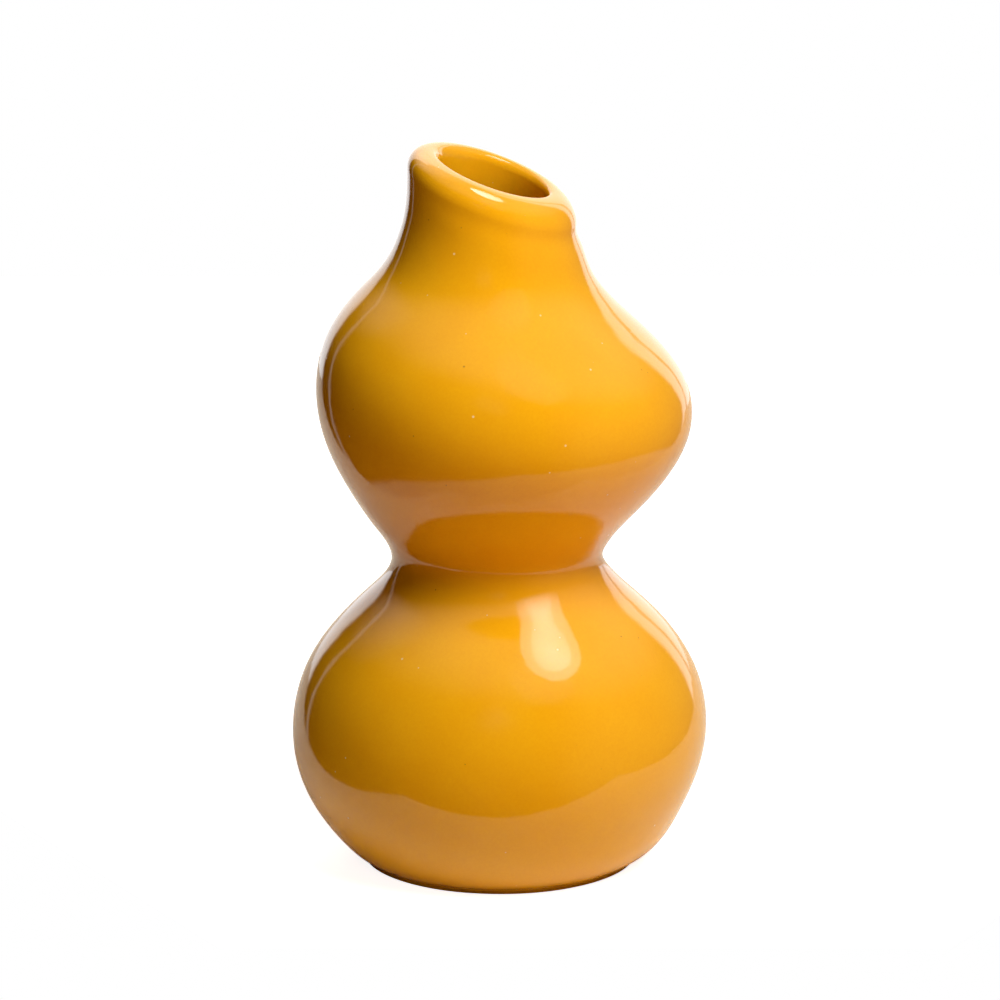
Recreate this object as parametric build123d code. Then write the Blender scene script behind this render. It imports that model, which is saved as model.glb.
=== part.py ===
from build123d import *
import math
import os

# Gourd vase: two glazed bulbs, one on the other, under a leaning neck and a slanted mouth.
# Millimetres, +Z up. The origin is on the ground, on the upright axis of the lower bulb.
# The mouth slants down towards +X, and the vase is the same on both sides of the XZ plane.

# Overall form
height = 200.0                # ground to the top of the lip, at its high side
waist_height = 85.6           # ground to the narrowest place between the bulbs
foot_width = 68.0             # across the outside of the foot, where it meets the ground
lower_bulb_width = 114.2
waist_width = 58.0
upper_bulb_width = 103.0
waist_lean = -0.8             # how far the waist's centre stands off the axis, along X
belly_lean = 1.15             # the same for the widest place of the upper bulb
lip_lean = -2.2               # the same for the foot of the lip
mouth_lean = -1.85            # the same for the mouth
mouth_tilt = 19.7             # degrees that the mouth slants down towards +X

# Mouth and lip: widths in the slanted plane of the mouth, heights straight down
bore_width = 30.8             # clear width of the mouth
inner_roll_width = 2.2        # from the bore out to the lip's crown
inner_roll_height = 2.8
outer_roll_width = 6.9        # from the lip's crown out to the neck
outer_roll_height = 6.9
lip_seat = 2.6                # from the foot of the outer roll down to the lip's joint

# Walls, floor and foot
wall = 5.0                    # clay and both coats of glaze, measured across the bulbs
glaze = 0.5                   # each coat of glaze, measured the same way
floor_thickness = 6.0
foot_depth = 2.5              # height of the foot ring, and depth of the recess inside it
foot_ring_width = 6.5         # width of the unglazed ring that touches the ground
recess_draft = 0.6            # how much smaller the recess's radius is at its top
bare_foot_height = 0.4        # the outer glaze stops this far above the ground

# Luted joints: a tongue on the lower piece stands in a groove of the upper one
tongue_height = 1.2
tongue_width_share = 0.32     # of the clay's thickness at the joint
slip_gap = 0.1                # the groove is this much larger than the tongue, for the slip

# Cuts run past the faces that they cut by this much
overrun = 20.0

# Lower bulb, from the ground up to its widest place: height as a share of the waist's height,
# fullness from the foot's width (0) to the bulb's (1), and lean as a share of the waist's.
lower_rise_shares = [
    (0.0, 0.0, 0.0),
    (0.0175, 0.188, 0.0),
    (0.07, 0.446, -0.4),
    (0.1636, 0.70, 0.38),
    (0.3154, 0.944, 0.56),
    (0.472, 1.0, 0.04),
]
# The same from the bulb's shoulder up to the waist, where a fullness of 0 is the waist's width.
lower_fall_shares = [
    (0.654, 0.84, -0.15),
    (0.783, 0.558, -0.29),
    (0.876, 0.272, -0.06),
    (0.946, 0.071, 0.3),
]

# Upper bulb, from the waist to its belly: height as a share of the span from the waist to the
# foot of the lip, fullness from the waist's width (0) to the bulb's width (1), lean from the
# waist's (0) to the belly's (1), and tilt as a share of the mouth's.
upper_rise_shares = [
    (0.0, 0.0, 0.0, 0.0),
    (0.0484, 0.071, 0.0, 0.014),
    (0.1027, 0.249, -0.09, 0.043),
    (0.1718, 0.493, 0.18, 0.077),
    (0.2705, 0.784, 0.585, 0.125),
    (0.4087, 0.996, 0.965, 0.20),
]
# The same from the belly up the neck, where fullness and lean run to those of the lip, and a
# fifth column gives how much of the lip's extra thickness the wall has there.
upper_fall_shares = [
    (0.547, 0.928, 0.0, 0.30, 0.0),
    (0.675, 0.584, 0.12, 0.42, 0.05),
    (0.764, 0.27, 0.33, 0.54, 0.2),
    (0.85, 0.09, 0.65, 0.68, 0.35),
    (0.932, 0.015, 0.83, 0.82, 0.75),
    (1.0, 0.0, 1.0, 1.0, 1.0),
]
neck_joint_index = 2          # the row of upper_fall_shares where the neck is joined on

# Floor of the inside: height above the floor as a share of the wall, and radius as a share of
# the lower bulb's inside radius. The wall begins at the next row of lower_rise_shares.
floor_curve_shares = [(0.0, 0.70), (0.24, 0.80)]
first_inside_index = 3

# How many sections carry each surface
body_sections = 60
lip_sections = 18
inside_sections = 40

# Sizes that follow from those above
foot_radius = foot_width / 2
lower_bulb_radius = lower_bulb_width / 2
waist_radius = waist_width / 2
upper_bulb_radius = upper_bulb_width / 2
bore_radius = bore_width / 2
crown_radius = bore_radius + inner_roll_width
lip_radius = crown_radius + outer_roll_width
lip_wall = lip_radius - bore_radius
recess_radius = foot_radius - glaze - foot_ring_width
floor_height = foot_depth + floor_thickness
up = Vector(0, 0, 1)
across = Vector(0, 1, 0)
mouth_slope = math.sin(math.radians(mouth_tilt))
crown_rise = math.hypot(outer_roll_width * mouth_slope, outer_roll_height) - outer_roll_height
mouth_centre = Vector(mouth_lean, 0, height - crown_rise - crown_radius * mouth_slope)
lip_foot = Vector(lip_lean, 0, mouth_centre.Z - outer_roll_height)
throat = mouth_centre - up * inner_roll_height


def between(start, end, share):
    """The value that lies a share of the way from start to end."""
    return start + (end - start) * share


def slanted_plane(centre, degrees):
    """A plane through a centre, level along Y and slanting down towards +X."""
    angle = math.radians(degrees)
    along = (math.cos(angle), 0, -math.sin(angle))
    normal = (math.sin(angle), 0, math.cos(angle))
    return Plane(origin=centre, x_dir=along, z_dir=normal)


def lower_rows():
    """Centre, radius and tilt of the outside at each height of the lower bulb."""
    rows = []
    for narrow, shares in ((foot_radius, lower_rise_shares), (waist_radius, lower_fall_shares)):
        for height_share, fullness, lean_share in shares:
            centre = Vector(waist_lean * lean_share, 0, waist_height * height_share)
            rows.append((centre, between(narrow, lower_bulb_radius, fullness), 0.0))
    return rows


def upper_row(shares, lean_from, lean_to, narrow):
    """Centre, radius and tilt of the outside at one height of the upper bulb or the neck."""
    height_share, fullness, lean_share, tilt_share = shares[:4]
    lean = between(lean_from, lean_to, lean_share)
    centre = Vector(lean, 0, between(waist_height, lip_foot.Z, height_share))
    return centre, between(narrow, upper_bulb_radius, fullness), mouth_tilt * tilt_share


def belly_rows():
    """The outside from the waist up to the widest place of the upper bulb."""
    return [upper_row(row, waist_lean, belly_lean, waist_radius) for row in upper_rise_shares]


def neck_rows():
    """The outside from the upper bulb's shoulder up to the foot of the lip."""
    return [upper_row(row, belly_lean, lip_lean, lip_radius) for row in upper_fall_shares]


def neck_wall(index):
    """Thickness of the wall, glaze included, at a row of upper_fall_shares."""
    return between(wall, lip_wall, upper_fall_shares[index][4])


def outside_rows(inset):
    """All rows of the outside, set into the clay by an inset."""
    rows = lower_rows() + belly_rows() + neck_rows()
    return [(centre, radius - inset, degrees) for centre, radius, degrees in rows]


def inside_rows(inset):
    """All rows of the inside, from the throat down to the floor, set into the clay too."""
    rows = []
    for index, (centre, radius, degrees) in enumerate(neck_rows()[:-1]):
        rows.append((centre, radius - neck_wall(index), degrees))
    rows.append((throat, bore_radius, mouth_tilt))
    rows.reverse()
    plain = lower_rows()[first_inside_index:] + belly_rows()
    rows += [(centre, radius - wall, degrees) for centre, radius, degrees in reversed(plain)]
    for height_share, radius_share in reversed(floor_curve_shares):
        centre = Vector(0, 0, floor_height + wall * height_share - inset)
        rows.append((centre, (lower_bulb_radius - wall) * radius_share, 0.0))
    return [(centre, radius + inset, degrees) for centre, radius, degrees in rows]


def roll_row(angle, inset):
    """One row of the lip's rounded section: 0 is its outside, 90 its crown and 180 the bore."""
    spread = math.cos(math.radians(angle))
    rise = math.sin(math.radians(angle))
    width, drop, foot = outer_roll_width, outer_roll_height, lip_foot
    if angle > 90:
        width, drop, foot = inner_roll_width, inner_roll_height, throat
    centre = between(foot, mouth_centre, between(0.0, 1 - inset / drop, rise))
    return centre, crown_radius + (width - inset) * spread, mouth_tilt


def side_points(rows, side):
    """The ends of the rows on one side, -1 for the high side and 1 for the low side."""
    points = []
    for centre, radius, degrees in rows:
        points.append(centre + slanted_plane(centre, degrees).x_dir * (radius * side))
    return points


def rings_along(rows, count, first_way, last_way):
    """Evenly spaced circles between smooth curves through the two sides of the rows.

    The curves set out and arrive along the ways given. Without one, they keep the direction of
    their own first or last step.
    """
    left = side_points(rows, -1)
    right = side_points(rows, 1)
    places = [0.0]
    for index in range(1, len(rows)):
        step = (left[index] - left[index - 1]).length + (right[index] - right[index - 1]).length
        places.append(places[-1] + step / 2)
    curves = []
    for points in (left, right):
        ways = [first_way or points[1] - points[0], last_way or points[-1] - points[-2]]
        unit_ways = [way.normalized() for way in ways]
        curves.append(Edge.make_spline(points, tangents=unit_ways, parameters=places, scale=False))
    circles = []
    for index in range(count + 1):
        start, end = [curve.position_at(index / count) for curve in curves]
        reach = end - start
        plane = Plane(origin=(start + end) / 2, x_dir=reach, z_dir=reach.cross(across))
        circles.append(plane * Circle(reach.length / 2))
    return circles


def body_loft(inset):
    """The outside as a solid, from the ground to the foot of the lip."""
    return loft(rings_along(outside_rows(inset), body_sections, None, mouth_centre - lip_foot))


def lip_loft(inset):
    """The lip's rounded section as a solid, from its foot over the crown down to the throat."""
    rings = []
    for index in range(lip_sections + 1):
        centre, radius, degrees = roll_row(180 * index / lip_sections, inset)
        rings.append(slanted_plane(centre, degrees) * Circle(radius))
    return loft(rings)


def inside_loft(inset):
    """The inside as a solid, from the throat down to the floor."""
    return loft(rings_along(inside_rows(inset), inside_sections, -up, None))


def skin_of(solid):
    """The curved face of a loft."""
    return solid.faces().filter_by(GeomType.PLANE, reverse=True)[0]


def lowest_end(solid):
    """The flat end of a loft that lies lowest."""
    return solid.faces().filter_by(GeomType.PLANE).sort_by(Axis.Z)[0]


def highest_end(solid):
    """The flat end of a loft that lies highest."""
    return solid.faces().filter_by(GeomType.PLANE).sort_by(Axis.Z)[-1]


def rim_between(outer_end, inner_end):
    """The flat ring between two ends that lie in one plane."""
    return (outer_end - inner_end).faces()[0]


def clay_vessel():
    """All the clay under the glaze, with the recess under the foot, before it is parted."""
    skins = [skin_of(clay_body), skin_of(clay_lip), skin_of(clay_inside)]
    vessel = Solid(Shell(skins + [lowest_end(clay_body), lowest_end(clay_inside)]))
    recess = Cone(recess_radius + recess_draft, recess_radius - recess_draft, 2 * foot_depth)
    return vessel - recess


def outer_coat():
    """The glaze on the outside and over the lip, wiped off the foot."""
    skins = [skin_of(visible_body), skin_of(visible_lip), skin_of(clay_body), skin_of(clay_lip)]
    foot_rim = rim_between(lowest_end(visible_body), lowest_end(clay_body))
    throat_rim = rim_between(highest_end(clay_inside), highest_end(visible_inside))
    side = lower_bulb_width + overrun
    wiped = Pos(0, 0, bare_foot_height - overrun / 2) * Box(side, side, overrun)
    return Solid(Shell(skins + [foot_rim, throat_rim])) - wiped


def inner_coat():
    """The glaze on the inside, from the throat down and over the floor."""
    skins = [skin_of(visible_inside), skin_of(clay_inside)]
    floors = [lowest_end(visible_inside), lowest_end(clay_inside)]
    throat_rim = rim_between(highest_end(clay_inside), highest_end(visible_inside))
    return Solid(Shell(skins + floors + [throat_rim]))


def base_coat():
    """The glaze on the underside, inside the recess of the foot."""
    top_radius = recess_radius - recess_draft
    bottom_radius = between(top_radius, recess_radius, glaze / foot_depth)
    return Pos(0, 0, foot_depth - glaze / 2) * Cone(bottom_radius, top_radius, glaze)


def joint_on(centre, degrees):
    """A joint through the wall: its plane, centred on the wall, and the wall's mean radius and clay.

    All are measured half a tongue above the plane, where the middle of the tongue is.
    """
    plane = slanted_plane(centre, degrees)
    level = plane.offset(tongue_height / 2)
    cuts = [section(solid, section_by=level).faces()[0] for solid in (clay_body, clay_inside)]
    radii = [math.sqrt(cut.area / math.pi) for cut in cuts]
    plane.origin = between(cuts[0].center(), cuts[1].center(), 0.5) - plane.z_dir * tongue_height / 2
    return plane, sum(radii) / 2, radii[0] - radii[1]


def joints():
    """The four luted joints, from the foot up."""
    foot_plane = slanted_plane(up * foot_depth, 0.0)
    return [
        (foot_plane, recess_radius + foot_ring_width / 2, foot_ring_width),
        joint_on(belly_rows()[0][0], 0.0),
        joint_on(neck_rows()[neck_joint_index][0], 0.0),
        joint_on(lip_foot - up * lip_seat, mouth_tilt),
    ]


def tongue(plane, middle, thickness, growth):
    """A ring that stands in the wall on a joint's plane, grown all round."""
    half_width = thickness * tongue_width_share / 2 + growth
    section = Circle(middle + half_width) - Circle(middle - half_width)
    return extrude(plane.offset(-growth) * section, tongue_height + 2 * growth)


def clay_pieces():
    """The clay parted at its joints into separate pieces, from the foot ring up to the lip."""
    pieces = []
    rest = clay_vessel()
    for plane, middle, thickness in joints():
        lower = split(rest, bisect_by=plane, keep=Keep.BOTTOM)
        pieces.append(lower + tongue(plane, middle, thickness, 0.0))
        rest = split(rest, bisect_by=plane, keep=Keep.TOP) - tongue(plane, middle, thickness, slip_gap)
    pieces.append(rest)
    return pieces


visible_body, visible_lip, visible_inside = body_loft(0.0), lip_loft(0.0), inside_loft(0.0)
clay_body, clay_lip, clay_inside = body_loft(glaze), lip_loft(glaze), inside_loft(glaze)
clay_names = ["foot_ring", "lower_bulb", "upper_bulb", "neck", "lip"]
nodes = dict(zip(clay_names, clay_pieces()))
nodes["outer_glaze"] = outer_coat()
nodes["inner_glaze"] = inner_coat()
nodes["base_glaze"] = base_coat()

os.makedirs("parts", exist_ok=True)
for name, shape in nodes.items():
    export_step(shape, f"parts/{name}.step")
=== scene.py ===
import bpy
import math
import numpy as np
from mathutils import Matrix, Vector


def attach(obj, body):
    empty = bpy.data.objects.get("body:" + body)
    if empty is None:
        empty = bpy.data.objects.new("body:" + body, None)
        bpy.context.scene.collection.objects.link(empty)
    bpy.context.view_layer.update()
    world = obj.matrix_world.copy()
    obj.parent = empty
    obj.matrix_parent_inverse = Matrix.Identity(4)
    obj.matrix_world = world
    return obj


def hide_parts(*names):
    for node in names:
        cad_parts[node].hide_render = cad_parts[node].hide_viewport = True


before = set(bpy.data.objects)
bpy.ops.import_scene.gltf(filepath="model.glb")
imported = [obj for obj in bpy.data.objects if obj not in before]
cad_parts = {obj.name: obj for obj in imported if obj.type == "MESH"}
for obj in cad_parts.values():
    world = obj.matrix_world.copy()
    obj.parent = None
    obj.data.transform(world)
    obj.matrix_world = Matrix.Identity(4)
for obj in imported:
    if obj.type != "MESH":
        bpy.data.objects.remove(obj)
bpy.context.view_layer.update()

# Gourd vase under one coat of yellow glaze. The form below is in millimetres, +Z up, with the
# origin on the ground under the lower bulb; meshes are turned into metres when they are made.
MM = 0.001

# Overall form
HEIGHT = 200.0
WAIST_HEIGHT = 85.6
FOOT_RADIUS = 34.0
LOWER_BULB_RADIUS = 57.1
WAIST_RADIUS = 29.0
UPPER_BULB_RADIUS = 51.5
WAIST_LEAN = -0.8
BELLY_LEAN = 1.15
LIP_LEAN = -2.2
MOUTH_LEAN = -1.85
MOUTH_TILT = 19.7

# Mouth and lip
BORE_RADIUS = 15.4
INNER_ROLL_WIDTH = 2.2
INNER_ROLL_HEIGHT = 2.8
OUTER_ROLL_WIDTH = 6.9
OUTER_ROLL_HEIGHT = 6.9

# Walls, floor and foot
WALL = 5.0
GLAZE = 0.5
FOOT_DEPTH = 2.5
FLOOR_THICKNESS = 6.0
BARE_FOOT_HEIGHT = 0.4

# Height, fullness and lean up the lower bulb and from its shoulder to the waist
LOWER_RISE_SHARES = [
    (0.0, 0.0, 0.0), (0.0175, 0.188, 0.0), (0.07, 0.446, -0.4), (0.1636, 0.70, 0.38),
    (0.3154, 0.944, 0.56), (0.472, 1.0, 0.04),
]
LOWER_FALL_SHARES = [
    (0.654, 0.84, -0.15), (0.783, 0.558, -0.29), (0.876, 0.272, -0.06), (0.946, 0.071, 0.3),
]
# Height, fullness, lean and tilt up the upper bulb, then with the wall's growth up the neck
UPPER_RISE_SHARES = [
    (0.0, 0.0, 0.0, 0.0), (0.0484, 0.071, 0.0, 0.014), (0.1027, 0.249, -0.09, 0.043),
    (0.1718, 0.493, 0.18, 0.077), (0.2705, 0.784, 0.585, 0.125), (0.4087, 0.996, 0.965, 0.20),
]
UPPER_FALL_SHARES = [
    (0.547, 0.928, 0.0, 0.30, 0.0), (0.675, 0.584, 0.12, 0.42, 0.05), (0.764, 0.27, 0.33, 0.54, 0.2),
    (0.85, 0.09, 0.65, 0.68, 0.35), (0.932, 0.015, 0.83, 0.82, 0.75), (1.0, 0.0, 1.0, 1.0, 1.0),
]
# Height and radius of the curve from the floor to the wall, which starts at the row named next
FLOOR_CURVE_SHARES = [(0.0, 0.70), (0.24, 0.80)]
FIRST_INSIDE_ROW = 3

CROWN_RADIUS = BORE_RADIUS + INNER_ROLL_WIDTH
LIP_RADIUS = CROWN_RADIUS + OUTER_ROLL_WIDTH
FLOOR_HEIGHT = FOOT_DEPTH + FLOOR_THICKNESS
MOUTH_SLOPE = math.sin(math.radians(MOUTH_TILT))
CROWN_RISE = math.hypot(OUTER_ROLL_WIDTH * MOUTH_SLOPE, OUTER_ROLL_HEIGHT) - OUTER_ROLL_HEIGHT
MOUTH_CENTRE = Vector((MOUTH_LEAN, 0, HEIGHT - CROWN_RISE - CROWN_RADIUS * MOUTH_SLOPE))
LIP_FOOT = Vector((LIP_LEAN, 0, MOUTH_CENTRE.z - OUTER_ROLL_HEIGHT))
THROAT = MOUTH_CENTRE - Vector((0, 0, INNER_ROLL_HEIGHT))

# Rings along each stretch of the glaze, points around each ring, and points that a curve is
# measured with between two rows
OUTSIDE_RINGS = 190
LIP_RINGS = 44
INSIDE_RINGS = 100
HIDDEN_RINGS = 50
AROUND = 180
FINE_POINTS = 60
FLOOR_RING_SHARES = (0.0, 0.12, 0.3, 0.5, 0.7, 0.85, 0.95)
HIDDEN_FLOOR_SHARES = (0.6, 0.0)
EDGE_ANGLES = (30, 60, 90, 120, 150)

# The slow wave that throwing by hand leaves in the surface
WAVE_HEIGHT = 0.14
WAVE_SIZE = 22.0
# Points closer than this, at the poles and along the seam, become one
MERGE_DISTANCE = 0.002


def between(start, end, share):
    """The value that lies a share of the way from start to end."""
    return start + (end - start) * share


def lower_rows():
    """Centre, radius and tilt of the outside at each height of the lower bulb."""
    rows = []
    for narrow, shares in ((FOOT_RADIUS, LOWER_RISE_SHARES), (WAIST_RADIUS, LOWER_FALL_SHARES)):
        for height, fullness, lean in shares:
            centre = Vector((WAIST_LEAN * lean, 0, WAIST_HEIGHT * height))
            rows.append((centre, between(narrow, LOWER_BULB_RADIUS, fullness), 0.0))
    return rows


def upper_rows(shares, lean_from, lean_to, narrow):
    """The same along one stretch of the upper bulb or the neck."""
    rows = []
    for height, fullness, lean, tilt in (row[:4] for row in shares):
        place = between(WAIST_HEIGHT, LIP_FOOT.z, height)
        centre = Vector((between(lean_from, lean_to, lean), 0, place))
        rows.append((centre, between(narrow, UPPER_BULB_RADIUS, fullness), MOUTH_TILT * tilt))
    return rows


def belly_rows():
    """The outside from the waist up to the widest place of the upper bulb."""
    return upper_rows(UPPER_RISE_SHARES, WAIST_LEAN, BELLY_LEAN, WAIST_RADIUS)


def neck_rows():
    """The outside from the upper bulb's shoulder up to the foot of the lip."""
    return upper_rows(UPPER_FALL_SHARES, BELLY_LEAN, LIP_LEAN, LIP_RADIUS)


def outside_rows(inset):
    """All rows of the outside, set into the clay by an inset."""
    rows = lower_rows() + belly_rows() + neck_rows()
    return [(centre, radius - inset, tilt) for centre, radius, tilt in rows]


def inside_rows(inset):
    """All rows of the inside, from the throat down to the floor, set into the clay too."""
    rows = []
    for (centre, radius, tilt), shares in zip(neck_rows()[:-1], UPPER_FALL_SHARES):
        rows.append((centre, radius - between(WALL, LIP_RADIUS - BORE_RADIUS, shares[4]), tilt))
    rows.append((THROAT, BORE_RADIUS, MOUTH_TILT))
    rows.reverse()
    plain = lower_rows()[FIRST_INSIDE_ROW:] + belly_rows()
    rows += [(centre, radius - WALL, tilt) for centre, radius, tilt in reversed(plain)]
    for height, width in reversed(FLOOR_CURVE_SHARES):
        centre = Vector((0, 0, FLOOR_HEIGHT + WALL * height - inset))
        rows.append((centre, (LOWER_BULB_RADIUS - WALL) * width, 0.0))
    return [(centre, radius + inset, tilt) for centre, radius, tilt in rows]


def roll_row(angle, inset):
    """One row of the lip's rounded section: 0 is its outside, 90 its crown and 180 the bore."""
    spread = math.cos(math.radians(angle))
    rise = math.sin(math.radians(angle))
    width, drop, foot = OUTER_ROLL_WIDTH, OUTER_ROLL_HEIGHT, LIP_FOOT
    if angle > 90:
        width, drop, foot = INNER_ROLL_WIDTH, INNER_ROLL_HEIGHT, THROAT
    centre = between(foot, MOUTH_CENTRE, rise * (1 - inset / drop))
    return centre, CROWN_RADIUS + (width - inset) * spread, MOUTH_TILT


def ends(row):
    """The two ends of a row: its high side, towards -X, and its low side, towards +X."""
    centre, radius, tilt = row
    slope = math.radians(tilt)
    reach = Vector((math.cos(slope), 0, -math.sin(slope))) * radius
    return centre - reach, centre + reach


def smooth_curve(points, places, first_way, last_way, count):
    """Points at even lengths on the smooth curve through points, with its ends along two ways."""
    points = np.array(points)
    places = np.array(places)
    size = len(points)
    steps = np.diff(places)
    slopes = np.diff(points, axis=0) / steps[:, None]
    system = np.zeros((size, size))
    right_side = np.zeros((size, 3))
    system[0, 0] = system[-1, -1] = 1.0
    right_side[0], right_side[-1] = first_way, last_way
    for index in range(1, size - 1):
        before, after = steps[index - 1], steps[index]
        system[index, index - 1:index + 2] = after, 2 * (before + after), before
        right_side[index] = 3 * (after * slopes[index - 1] + before * slopes[index])
    ways = np.linalg.solve(system, right_side)
    stretches = []
    share = np.linspace(0.0, 1.0, FINE_POINTS)[:, None]
    rest = 1 - share
    for index, step in enumerate(steps):
        start, end = points[index], points[index + 1]
        first, last = step * ways[index], step * ways[index + 1]
        stretch = (1 + 2 * share) * rest ** 2 * start + share * rest ** 2 * first
        stretch += share ** 2 * (3 - 2 * share) * end - share ** 2 * rest * last
        stretches.append(stretch)
    fine = np.concatenate(stretches)
    lengths = np.append(0.0, np.cumsum(np.linalg.norm(np.diff(fine, axis=0), axis=1)))
    even = np.linspace(0.0, lengths[-1], count + 1)
    return [Vector(point) for point in zip(*[np.interp(even, lengths, axis) for axis in fine.T])]


def rungs_along(rows, count, first_way=None, last_way=None):
    """Pairs of ends of evenly spaced rings along smooth curves through the sides of the rows."""
    sides = list(zip(*[ends(row) for row in rows]))
    places = [0.0]
    for index in range(1, len(rows)):
        lengths = [(side[index] - side[index - 1]).length for side in sides]
        places.append(places[-1] + sum(lengths) / 2)
    curves = []
    for side in sides:
        first = (first_way or side[1] - side[0]).normalized()
        last = (last_way or side[-1] - side[-2]).normalized()
        curves.append(smooth_curve(side, places, first, last, count))
    return list(zip(*curves))


def body_rungs(inset, count):
    """The outside, from the ground to the foot of the lip."""
    return rungs_along(outside_rows(inset), count, None, MOUTH_CENTRE - LIP_FOOT)


def lip_rungs(inset, count):
    """The lip, from its outside over the crown to the bore."""
    return [ends(roll_row(180 * index / count, inset)) for index in range(1, count)]


def inside_rungs(inset, count):
    """The inside, from the throat down to the floor."""
    return rungs_along(inside_rows(inset), count, Vector((0, 0, -1)), None)


def flat_rungs(height, radii):
    """Rings on a level disc about the axis."""
    return [ends((Vector((0, 0, height)), radius, 0.0)) for radius in radii]


def glaze_edge_rungs(low_rung, hidden_rung):
    """The glaze's rounded lower edge, from its face round to the clay."""
    outer, inner = low_rung[1].x, hidden_rung[1].x
    middle, half = (outer + inner) / 2, (outer - inner) / 2
    rungs = []
    for angle in EDGE_ANGLES:
        radius = middle + half * math.cos(math.radians(angle))
        height = BARE_FOOT_HEIGHT + half * (1 - math.sin(math.radians(angle)))
        rungs.append(ends((Vector((0, 0, height)), radius, 0.0)))
    return rungs


def glaze_rungs():
    """The whole section of the glaze: floor, inside, lip and outside, then back under them all."""
    floor_radius = (LOWER_BULB_RADIUS - WALL) * FLOOR_CURVE_SHARES[0][1]
    floor_radii = [floor_radius * share for share in FLOOR_RING_SHARES]
    bare = BARE_FOOT_HEIGHT + GLAZE / 2
    shown = flat_rungs(FLOOR_HEIGHT, floor_radii)
    shown += reversed(inside_rungs(0.0, INSIDE_RINGS))
    shown += reversed(lip_rungs(0.0, LIP_RINGS))
    shown += [rung for rung in reversed(body_rungs(0.0, OUTSIDE_RINGS)) if rung[1].z > bare]
    hidden = [rung for rung in body_rungs(GLAZE, HIDDEN_RINGS) if rung[1].z > bare]
    edge = glaze_edge_rungs(shown[-1], hidden[0])
    hidden += lip_rungs(GLAZE, LIP_RINGS // 4)
    hidden += inside_rungs(GLAZE, HIDDEN_RINGS)
    hidden += flat_rungs(FLOOR_HEIGHT - GLAZE, [floor_radius * share for share in HIDDEN_FLOOR_SHARES])
    return shown + edge + hidden


# Node trees

def node(tree, kind, inputs=None, **settings):
    """A node with its settings, and its inputs set to values or linked to other sockets."""
    made = tree.nodes.new(kind)
    for name, value in settings.items():
        setattr(made, name, value)
    for name, value in (inputs or {}).items():
        if isinstance(value, bpy.types.NodeSocket):
            tree.links.new(value, made.inputs[name])
        else:
            made.inputs[name].default_value = value
    return made


def sum_of(tree, operation, *values, clamp=False):
    """The result of a sum on numbers or sockets."""
    inputs = dict(enumerate(values))
    return node(tree, "ShaderNodeMath", inputs, operation=operation, use_clamp=clamp).outputs[0]


def vector_sum(tree, operation, first, second=None, scale=None):
    """The result of a sum on vectors."""
    inputs = {0: first}
    if second is not None:
        inputs[1] = second
    if scale is not None:
        inputs["Scale"] = scale
    made = node(tree, "ShaderNodeVectorMath", inputs, operation=operation)
    return made.outputs["Value" if operation in ("LENGTH", "DOT_PRODUCT") else "Vector"]


def mixed(tree, factor, first, second):
    """Two colours mixed."""
    made = node(tree, "ShaderNodeMix", {0: factor, 6: first, 7: second}, data_type="RGBA")
    return made.outputs[2]


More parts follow.
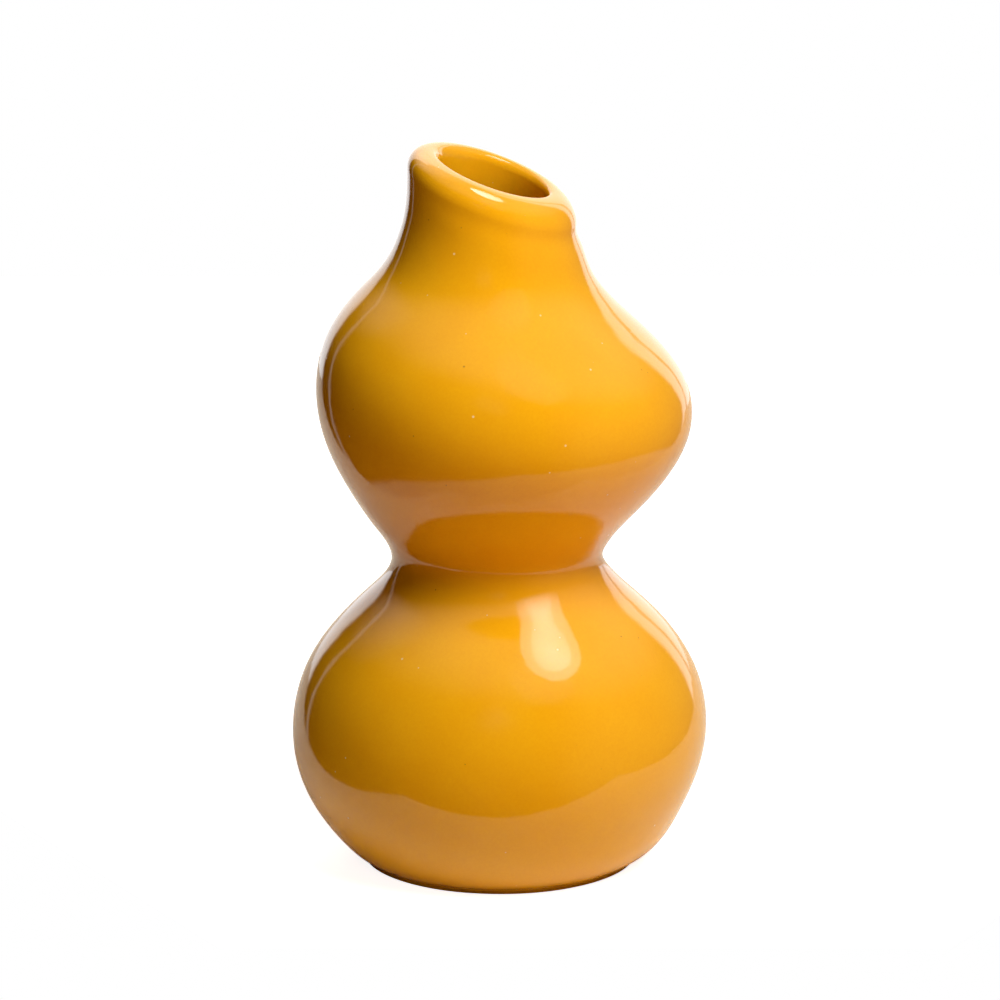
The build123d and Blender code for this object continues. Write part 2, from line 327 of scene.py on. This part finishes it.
def skin_tree():
    """Geometry nodes that draw a ring round each pair of points and join the rings into a skin."""
    tree = bpy.data.node_groups.new("skin_of_rings", "GeometryNodeTree")
    sockets = [
        ("Geometry", "NodeSocketGeometry"), ("Around", "NodeSocketInt"),
        ("Wave height", "NodeSocketFloat"), ("Wave size", "NodeSocketFloat"),
        ("Material", "NodeSocketMaterial"),
    ]
    for name, kind in sockets:
        tree.interface.new_socket(name, in_out="INPUT", socket_type=kind)
    tree.interface.new_socket("Geometry", in_out="OUTPUT", socket_type="NodeSocketGeometry")
    given = node(tree, "NodeGroupInput").outputs
    sizes = node(tree, "GeometryNodeAttributeDomainSize", {"Geometry": given["Geometry"]}).outputs
    rings = sum_of(tree, "DIVIDE", sizes["Point Count"], 2.0)
    columns = sum_of(tree, "ADD", given["Around"], 1.0)
    counts = {"Vertices X": rings, "Vertices Y": columns}
    grid = node(tree, "GeometryNodeMeshGrid", counts).outputs["Mesh"]
    index = node(tree, "GeometryNodeInputIndex").outputs[0]
    ring = sum_of(tree, "FLOOR", sum_of(tree, "DIVIDE", sum_of(tree, "ADD", index, 0.5), columns))
    column = sum_of(tree, "SUBTRACT", index, sum_of(tree, "MULTIPLY", ring, columns))
    position = node(tree, "GeometryNodeInputPosition").outputs[0]
    sides = []
    for side in (0.0, 1.0):
        place = sum_of(tree, "ADD", sum_of(tree, "MULTIPLY", ring, 2.0), side)
        inputs = {"Geometry": given["Geometry"], "Value": position, "Index": place}
        sampled = node(tree, "GeometryNodeSampleIndex", inputs, data_type="FLOAT_VECTOR", domain="POINT")
        sides.append(sampled.outputs["Value"])
    centre = vector_sum(tree, "SCALE", vector_sum(tree, "ADD", sides[0], sides[1]), scale=0.5)
    reach = vector_sum(tree, "SCALE", vector_sum(tree, "SUBTRACT", sides[1], sides[0]), scale=0.5)
    turn = sum_of(tree, "MULTIPLY", sum_of(tree, "DIVIDE", column, given["Around"]), 2 * math.pi)
    along = vector_sum(tree, "SCALE", reach, scale=sum_of(tree, "COSINE", turn))
    depth = sum_of(tree, "MULTIPLY", vector_sum(tree, "LENGTH", reach), sum_of(tree, "SINE", turn))
    across = node(tree, "ShaderNodeCombineXYZ", {"Y": depth}).outputs[0]
    spot = vector_sum(tree, "ADD", centre, vector_sum(tree, "ADD", along, across))
    skin = node(tree, "GeometryNodeSetPosition", {"Geometry": grid, "Position": spot}).outputs[0]
    doubles = {"Geometry": skin, "Distance": MERGE_DISTANCE * MM}
    closed = node(tree, "GeometryNodeMergeByDistance", doubles).outputs[0]
    wave_scale = sum_of(tree, "DIVIDE", 1.0, given["Wave size"])
    noise = node(tree, "ShaderNodeTexNoise", {"Scale": wave_scale, "Detail": 1.0}).outputs[0]
    swell = sum_of(tree, "MULTIPLY", sum_of(tree, "SUBTRACT", noise, 0.5), given["Wave height"])
    normal = node(tree, "GeometryNodeInputNormal").outputs[0]
    offset = vector_sum(tree, "SCALE", normal, scale=swell)
    waved = node(tree, "GeometryNodeSetPosition", {"Geometry": closed, "Offset": offset}).outputs[0]
    smooth = node(tree, "GeometryNodeSetShadeSmooth", {"Geometry": waved}).outputs[0]
    finish = {"Geometry": smooth, "Material": given["Material"]}
    coated = node(tree, "GeometryNodeSetMaterial", finish).outputs[0]
    real = node(tree, "GeometryNodeRealizeInstances", {"Geometry": coated}).outputs[0]
    node(tree, "NodeGroupOutput", {"Geometry": real})
    return tree


def plain_mesh(name, tree, source, values):
    """The result of a node tree on a source mesh, as a plain mesh object."""
    piece = bpy.data.objects.new(name, source)
    bpy.context.scene.collection.objects.link(piece)
    modifier = piece.modifiers.new("shape", "NODES")
    modifier.node_group = tree
    for socket in tree.interface.items_tree:
        if socket.in_out == "INPUT" and socket.name in values:
            modifier[socket.identifier] = values[socket.name]
    evaluated = piece.evaluated_get(bpy.context.evaluated_depsgraph_get())
    mesh = bpy.data.meshes.new_from_object(evaluated)
    piece.modifiers.clear()
    piece.data = mesh
    mesh.name = name
    return piece


def ladder(rungs):
    """A mesh that holds the ends of each rung, two by two."""
    mesh = bpy.data.meshes.new("ladder")
    mesh.from_pydata([point * MM for rung in rungs for point in rung], [], [])
    return mesh


# Materials

GLAZE_COLOUR = (0.84, 0.39, 0.005, 1)
# The deep glaze colour serves both the random darker grain and the painted shade in the waist's crease
DEEP_GLAZE_AND_SHADE_COLOUR = (0.74, 0.28, 0.002, 1)
PALE_GLAZE_COLOUR = (0.88, 0.45, 0.009, 1)
PINHOLE_COLOUR = (0.90, 0.72, 0.42, 1)
SPECK_COLOUR = (0.16, 0.055, 0.010, 1)
CLAY_COLOUR = (0.72, 0.58, 0.44, 1)
DARK_CLAY_COLOUR = (0.56, 0.41, 0.28, 1)
GROG_COLOUR = (0.30, 0.20, 0.13, 1)
GLAZE_IOR = 1.5

# Sizes of the finish, in millimetres
GLAZE_CLOUD_SIZE = 16.0
GLAZE_GRAIN_SIZE = 0.7
GLOSS_PATCH_SIZE = 5.0
# The painted shade in the waist's crease reaches this far above and below the waist
WAIST_SHADE_REACH = 14.0           # how far the deeper colour reaches above and below the waist
RIPPLE_SIZE = 10.0
RIPPLE_HEIGHT = 0.12
PEEL_SIZE = 1.3               # the fine skin of the glaze, like an orange's
PEEL_HEIGHT = 0.0022
CLAY_CLOUD_SIZE = 9.0
CLAY_PATCH_SIZE = 2.0
CLAY_GRAIN_SIZE = 0.6
CLAY_GRAIN_HEIGHT = 0.05
TRIMMING_STEP = 0.9           # from one ring of the trimming tool to the next
TRIMMING_HEIGHT = 0.02

# Moves the pattern of the specks away from that of the pinholes
SPECK_SHIFT = (0.31, 0.17, 0.23)


def new_material(name):
    """A material with an empty node tree."""
    material = bpy.data.materials.new(name)
    material.use_nodes = True
    material.node_tree.nodes.clear()
    return material


def surface_place(tree):
    """A point's place on the vase, in metres."""
    return node(tree, "ShaderNodeTexCoord").outputs["Object"]


def cloudiness(tree, place, size, detail=2.0):
    """Soft noise from 0 to 1 whose clouds are about so many millimetres across."""
    inputs = {"Vector": place, "Scale": 1.0 / (size * MM), "Detail": detail}
    return node(tree, "ShaderNodeTexNoise", inputs).outputs[0]


def ranged(tree, value, low, high, to_low=0.0, to_high=1.0):
    """A value spread from one range over another, and held at its ends."""
    inputs = {
        "Value": value, "From Min": low, "From Max": high, "To Min": to_low, "To Max": to_high,
    }
    return node(tree, "ShaderNodeMapRange", inputs).outputs[0]


def tinted(tree, colour, tint, mask, strength):
    """A colour that goes a share of the way to a tint where a mask is 1."""
    return mixed(tree, sum_of(tree, "MULTIPLY", mask, strength), colour, tint)


def raised(tree, height, depth, normal=None):
    """The surface's normal where a height from 0 to 1 stands for so many millimetres."""
    inputs = {"Height": height, "Distance": depth * MM, "Strength": 1.0}
    if normal is not None:
        inputs["Normal"] = normal
    return node(tree, "ShaderNodeBump", inputs).outputs["Normal"]


def scattered_spots():
    """A group that scatters small round spots over a surface, for pinholes, specks and grog."""
    tree = bpy.data.node_groups.new("scattered_spots", "ShaderNodeTree")
    for name, kind in (
        ("Place", "NodeSocketVector"), ("Spacing", "NodeSocketFloat"),
        ("Radius", "NodeSocketFloat"), ("Share", "NodeSocketFloat"),
    ):
        tree.interface.new_socket(name, in_out="INPUT", socket_type=kind)
    tree.interface.new_socket("Mask", in_out="OUTPUT", socket_type="NodeSocketFloat")
    given = node(tree, "NodeGroupInput").outputs
    scale = sum_of(tree, "DIVIDE", 1.0, given["Spacing"])
    cells = node(tree, "ShaderNodeTexVoronoi", {"Vector": given["Place"], "Scale": scale}).outputs
    distance = sum_of(tree, "MULTIPLY", cells["Distance"], given["Spacing"])
    luck = node(tree, "ShaderNodeSeparateXYZ", {0: cells["Color"]}).outputs
    chosen = sum_of(tree, "LESS_THAN", luck["X"], given["Share"])
    growth = ranged(tree, luck["Y"], 0.0, 1.0, 0.5, 1.0)
    own_radius = sum_of(tree, "MULTIPLY", given["Radius"], growth)
    spot = ranged(tree, sum_of(tree, "DIVIDE", distance, own_radius), 0.6, 1.0, 1.0, 0.0)
    node(tree, "NodeGroupOutput", {"Mask": sum_of(tree, "MULTIPLY", spot, chosen)})
    return tree


SPOTS = scattered_spots()


def spots(tree, place, spacing, radius, share):
    """1 in round spots. Their cells are a spacing wide, and a share of the cells holds one."""
    inputs = {"Place": place, "Spacing": spacing * MM, "Radius": radius * MM, "Share": share}
    return node(tree, "ShaderNodeGroup", inputs, node_tree=SPOTS).outputs["Mask"]


def painted_waist_shade(tree, place):
    """Painted shade: 1 in the crease of the waist between the bulbs, falling to 0 around it."""
    height = node(tree, "ShaderNodeSeparateXYZ", {0: place}).outputs["Z"]
    away = sum_of(tree, "ABSOLUTE", sum_of(tree, "SUBTRACT", height, WAIST_HEIGHT * MM))
    return ranged(tree, away, 0.0, WAIST_SHADE_REACH * MM, 1.0, 0.0)


def glaze_material():
    """Yellow gloss glaze: faintly clouded, rippled as it ran, with pinholes and specks of iron, and
    painted shade in the waist's crease.
    """
    material = new_material("yellow_glaze")
    tree = material.node_tree
    place = surface_place(tree)
    clouds = ranged(tree, cloudiness(tree, place, GLAZE_CLOUD_SIZE, 3.0), 0.35, 0.65)
    grain = ranged(tree, cloudiness(tree, place, GLAZE_GRAIN_SIZE), 0.3, 0.7)
    waist_shade = painted_waist_shade(tree, place)
    pinholes = spots(tree, place, spacing=5.0, radius=0.42, share=0.5)
    speck_place = vector_sum(tree, "ADD", place, SPECK_SHIFT)
    specks = spots(tree, speck_place, spacing=7.0, radius=0.38, share=0.6)
    colour = tinted(tree, GLAZE_COLOUR, PALE_GLAZE_COLOUR, clouds, 0.35)
    colour = tinted(tree, colour, DEEP_GLAZE_AND_SHADE_COLOUR, grain, 0.22)
    # Painted shade: the deep colour laid into the crease of the waist
    colour = tinted(tree, colour, DEEP_GLAZE_AND_SHADE_COLOUR, waist_shade, 0.45)
    colour = tinted(tree, colour, SPECK_COLOUR, specks, 0.6)
    colour = tinted(tree, colour, PINHOLE_COLOUR, pinholes, 0.75)
    roughness = ranged(tree, cloudiness(tree, place, GLOSS_PATCH_SIZE), 0.3, 0.7, 0.06, 0.12)
    roughness = sum_of(tree, "MULTIPLY_ADD", pinholes, 0.3, roughness)
    normal = raised(tree, cloudiness(tree, place, RIPPLE_SIZE, 1.5), RIPPLE_HEIGHT)
    normal = raised(tree, cloudiness(tree, place, PEEL_SIZE, 1.0), PEEL_HEIGHT, normal)
    shader = node(tree, "ShaderNodeBsdfPrincipled", {
        "Base Color": colour, "Roughness": roughness, "IOR": GLAZE_IOR, "Normal": normal,
    })
    node(tree, "ShaderNodeOutputMaterial", {"Surface": shader.outputs[0]})
    return material


def clay_material():
    """Bare fired clay: matt and grainy, with dark grog and the fine rings of its trimming."""
    material = new_material("fired_clay")
    tree = material.node_tree
    place = surface_place(tree)
    clouds = ranged(tree, cloudiness(tree, place, CLAY_CLOUD_SIZE, 4.0), 0.35, 0.65)
    grog = spots(tree, place, spacing=1.6, radius=0.28, share=0.6)
    colour = tinted(tree, CLAY_COLOUR, DARK_CLAY_COLOUR, clouds, 0.5)
    colour = tinted(tree, colour, GROG_COLOUR, grog, 0.7)
    roughness = ranged(tree, cloudiness(tree, place, CLAY_PATCH_SIZE), 0.3, 0.7, 0.78, 0.95)
    radius = vector_sum(tree, "LENGTH", vector_sum(tree, "MULTIPLY", place, (1.0, 1.0, 0.0)))
    rings = sum_of(tree, "MULTIPLY", radius, 2 * math.pi / (TRIMMING_STEP * MM))
    rings = ranged(tree, sum_of(tree, "SINE", rings), -1.0, 1.0)
    normal = raised(tree, rings, TRIMMING_HEIGHT)
    normal = raised(tree, cloudiness(tree, place, CLAY_GRAIN_SIZE), CLAY_GRAIN_HEIGHT, normal)
    shader = node(tree, "ShaderNodeBsdfPrincipled", {
        "Base Color": colour, "Roughness": roughness, "Normal": normal,
    })
    node(tree, "ShaderNodeOutputMaterial", {"Surface": shader.outputs[0]})
    return material


# Studio, in metres and degrees. Its directions are measured from the camera: round to its right,
# then up from level.

CAMERA_TURN = 10.0            # the camera stands this far round from -Y towards +X
CAMERA_RISE = 15.0
CAMERA_DISTANCE = 2.0
CAMERA_LENS = 262.3           # millimetres, on a sensor 36 mm wide
SENSOR_WIDTH = 36.0
CAMERA_SHIFT = 0.005
FURTHEST_SEEN = 20.0
VASE_MIDDLE = Vector((0, 0, 0.1))

# Upright things that the rims mirror, by middle, half width and brightness: the white sheet behind
# the vase, a dark stand before it on the right, and a pale post on the left
UPRIGHTS = [(176.0, 36.0, 1.7), (151.0, 1.3, -1.2), (-134.0, 1.2, 0.7)]
UPRIGHT_EDGE = 2.0            # the widest soft edge that they have
SHEET_TOP = 0.78              # the sine of the rise at which they end, and how softly they do
SHEET_TOP_EDGE = 0.03

# Patches of the world, by direction, the angles within which a patch is full and beyond which it is
# gone, and brightness. The glaze mirrors the ceiling, its back, the side wall and the table.
MIRRORED = [
    ((150.0, 75.0), 35.0, 62.0, 0.55),
    ((-150.0, 50.0), 5.0, 35.0, 0.9),
    ((95.0, 0.0), 20.0, 75.0, 0.2),
    ((145.0, -75.0), 50.5, 53.5, 0.5),
]
# The glow that lights the vase besides the lamps: from the table before it, from below and above
GLOWING = [
    ((45.0, -45.0), 10.0, 80.0, 0.80),
    ((0.0, -90.0), 10.0, 80.0, 0.26),
    ((0.0, 90.0), 10.0, 80.0, 0.17),
]
GLOW_COLOUR = (1.0, 0.60, 0.38, 1)
AMBIENT = 0.03
WHITE = (1, 1, 1, 1)

# The narrow lamp on the lower bulb's shoulder: what it is aimed at, right, back and up in mm
SHOULDER = (-8.0, -38.0, 62.0)
SHOULDER_WAY = (-2.0, 34.0)
SHOULDER_DISTANCE = 0.45
SHOULDER_LAMP_SIZE = 0.28

# The board lies just under the foot, so that their flat faces don't share a plane
BOARD_HEIGHT = -0.05 * MM
BOARD_CORNERS = [(-0.075, -0.083), (0.12, -0.083), (0.55, 0.7), (-0.5, 0.7)]
BOARD_COLOUR = (0.86, 0.79, 0.70, 1)
BOARD_GLOW = 0.88             # makes it white to the camera but for the vase's shadow


def studio_way(right, rise):
    """The direction that lies so many degrees to the right of the camera and above level."""
    turn, rise = math.radians(CAMERA_TURN + right), math.radians(rise)
    level = math.cos(rise)
    return Vector((math.sin(turn) * level, -math.cos(turn) * level, math.sin(rise)))


def studio_place(place):
    """A place measured to the right of the camera, back and up in mm."""
    return Matrix.Rotation(math.radians(CAMERA_TURN), 3, "Z") @ Vector(place) * MM


def patch(tree, direction, way, inner, outer):
    """A round patch of sky: 1 within an angle of a direction, and 0 beyond a wider angle."""
    nearness = vector_sum(tree, "DOT_PRODUCT", direction, tuple(way))
    inputs = {
        "Value": nearness,
        "From Min": math.cos(math.radians(outer)), "From Max": math.cos(math.radians(inner)),
    }
    return node(tree, "ShaderNodeMapRange", inputs, interpolation_type="SMOOTHSTEP").outputs[0]


def upright(tree, direction, listed):
    """The brightness of a list of upright things round the vase."""
    level = vector_sum(tree, "NORMALIZE", vector_sum(tree, "MULTIPLY", direction, (1.0, 1.0, 0.0)))
    total = 0.0
    for middle, half, brightness in listed:
        soft = min(UPRIGHT_EDGE, half / 2)
        strip = patch(tree, level, studio_way(middle, 0.0), half - soft, half + soft)
        total = sum_of(tree, "MULTIPLY_ADD", strip, brightness, total)
    height = node(tree, "ShaderNodeSeparateXYZ", {0: direction}).outputs["Z"]
    top, bottom = SHEET_TOP + SHEET_TOP_EDGE, SHEET_TOP - SHEET_TOP_EDGE
    return sum_of(tree, "MULTIPLY", total, ranged(tree, height, bottom, top, 1.0, 0.0))


def patches(tree, direction, listed, rest):
    """The brightness of a list of patches, added to that of the rest."""
    for way, inner, outer, brightness in listed:
        spot = patch(tree, direction, studio_way(*way), inner, outer)
        rest = sum_of(tree, "MULTIPLY_ADD", spot, brightness, rest)
    return rest


def studio_world():
    """White to the camera, the studio's bright parts to the gloss, and a soft glow besides."""
    world = bpy.data.worlds.new("studio")
    bpy.context.scene.world = world
    world.use_nodes = True
    tree = world.node_tree
    tree.nodes.clear()
    path = node(tree, "ShaderNodeLightPath").outputs
    seen = sum_of(tree, "ADD", path["Is Camera Ray"], path["Is Transmission Ray"], clamp=True)
    direction = node(tree, "ShaderNodeTexCoord").outputs["Generated"]
    mirrored = patches(tree, direction, MIRRORED, upright(tree, direction, UPRIGHTS))
    glow = patches(tree, direction, GLOWING, AMBIENT)
    glossy = path["Is Glossy Ray"]
    lit = node(tree, "ShaderNodeMix", {0: glossy, 2: glow, 3: mirrored}).outputs[0]
    strength = sum_of(tree, "MAXIMUM", seen, lit)
    colour = mixed(tree, sum_of(tree, "MAXIMUM", seen, glossy), GLOW_COLOUR, WHITE)
    background = node(tree, "ShaderNodeBackground", {"Color": colour, "Strength": strength})
    node(tree, "ShaderNodeOutputWorld", {"Surface": background.outputs[0]})


def sheet_energy(level, distance):
    """The energy of a lamp that lights a facing white sheet to a level, where 1 is white."""
    return level * (math.pi * distance) ** 2


def narrow_share(spread):
    """What share of its energy a lamp of a narrow spread needs to be as bright on its axis."""
    half = math.radians(spread) / 2
    return 1 - half / math.tan(half)


def disc_lamp(name, place, back, size, energy, colour=(1, 1, 1)):
    """A round lamp in a place, which shines away from its back."""
    light = bpy.data.lights.new(name, "AREA")
    light.shape = "DISK"
    light.size = size
    light.energy = energy
    light.color = colour
    lit = bpy.data.objects.new(name, light)
    bpy.context.scene.collection.objects.link(lit)
    lit.location = place
    lit.rotation_euler = back.to_track_quat("Z", "Y").to_euler()
    lit.visible_camera = False
    return lit


def lamp(name, way, distance, size, level, colour=(1, 1, 1)):
    """A soft lamp. It is left out of the gloss, which mirrors the world instead."""
    back = studio_way(*way)
    place = VASE_MIDDLE + back * distance
    lit = disc_lamp(name, place, back, size, sheet_energy(level, distance), colour)
    lit.visible_glossy = False


def shoulder_lamp(spread, level):
    """A narrow lamp aimed at the lower bulb's shoulder, which the upper bulb shades from the key."""
    back = studio_way(*SHOULDER_WAY)
    place = studio_place(SHOULDER) + back * SHOULDER_DISTANCE
    energy = sheet_energy(level, SHOULDER_DISTANCE) * narrow_share(spread)
    lit = disc_lamp("shoulder", place, back, SHOULDER_LAMP_SIZE, energy)
    lit.data.spread = math.radians(spread)
    lit.visible_glossy = False


def glint(name, place, way, size, spread, brightness):
    """A small lamp close to the vase, for the gloss alone."""
    back = studio_way(*way)
    energy = sheet_energy(brightness, size / 2) * narrow_share(spread)
    lit = disc_lamp(name, studio_place(place), back, size, energy)
    lit.data.spread = math.radians(spread)
    lit.visible_diffuse = False


def studio_board():
    """The pale board that the vase stands on, a short way before it and far behind it."""
    mesh = bpy.data.meshes.new("white_board")
    mesh.from_pydata([(x, y, BOARD_HEIGHT) for x, y in BOARD_CORNERS], [], [(0, 1, 2, 3)])
    mesh.transform(Matrix.Rotation(math.radians(CAMERA_TURN), 4, "Z"))
    board = bpy.data.objects.new("white_board", mesh)
    bpy.context.scene.collection.objects.link(board)
    material = new_material("white_board")
    tree = material.node_tree
    path = node(tree, "ShaderNodeLightPath").outputs
    paper = node(tree, "ShaderNodeBsdfDiffuse", {"Color": BOARD_COLOUR})
    strength = sum_of(tree, "MULTIPLY", path["Is Camera Ray"], BOARD_GLOW)
    glow = node(tree, "ShaderNodeEmission", {"Strength": strength})
    both = node(tree, "ShaderNodeAddShader", {0: paper.outputs[0], 1: glow.outputs[0]})
    node(tree, "ShaderNodeOutputMaterial", {"Surface": both.outputs[0]})
    mesh.materials.append(material)


def studio_camera():
    """The photograph's view, from a little above and a little round to the low side."""
    data = bpy.data.cameras.new("camera")
    camera = bpy.data.objects.new("camera", data)
    bpy.context.scene.collection.objects.link(camera)
    back = studio_way(0.0, CAMERA_RISE)
    camera.location = VASE_MIDDLE + back * CAMERA_DISTANCE
    camera.rotation_euler = back.to_track_quat("Z", "Y").to_euler()
    data.sensor_width = SENSOR_WIDTH
    data.lens = CAMERA_LENS
    data.shift_y = CAMERA_SHIFT
    data.clip_end = FURTHEST_SEEN
    bpy.context.scene.camera = camera


glaze = glaze_material()
clay = clay_material()
coat = plain_mesh("glaze_coat", skin_tree(), ladder(glaze_rungs()), {
    "Around": AROUND, "Wave height": WAVE_HEIGHT * MM, "Wave size": WAVE_SIZE * MM, "Material": glaze,
})
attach(coat, "root")
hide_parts("outer_glaze", "inner_glaze")

for name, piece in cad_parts.items():
    if name in ("outer_glaze", "inner_glaze"):
        continue
    piece.data.materials.clear()
    piece.data.materials.append(glaze if name == "base_glaze" else clay)

studio_world()
studio_board()
lamp("key", way=(38.0, 54.0), distance=1.4, size=0.8, level=1.12, colour=(0.97, 1.0, 0.92))
lamp("back", way=(178.0, 25.0), distance=1.4, size=1.0, level=0.50)
shoulder_lamp(spread=24.0, level=0.46)
for name, size, brightness in (("shoulder_glint", 0.022, 8.0), ("shoulder_haze", 0.034, 5.0)):
    glint(name, (27.0, -45.5, 101.0), (67.0, 64.0), size, 60.0, brightness)
glint("lip_glint", (30.0, -12.0, 280.0), (90.0, 75.0), 0.045, 60.0, 15.0)
studio_camera()

bpy.context.scene.view_settings.view_transform = "Standard"
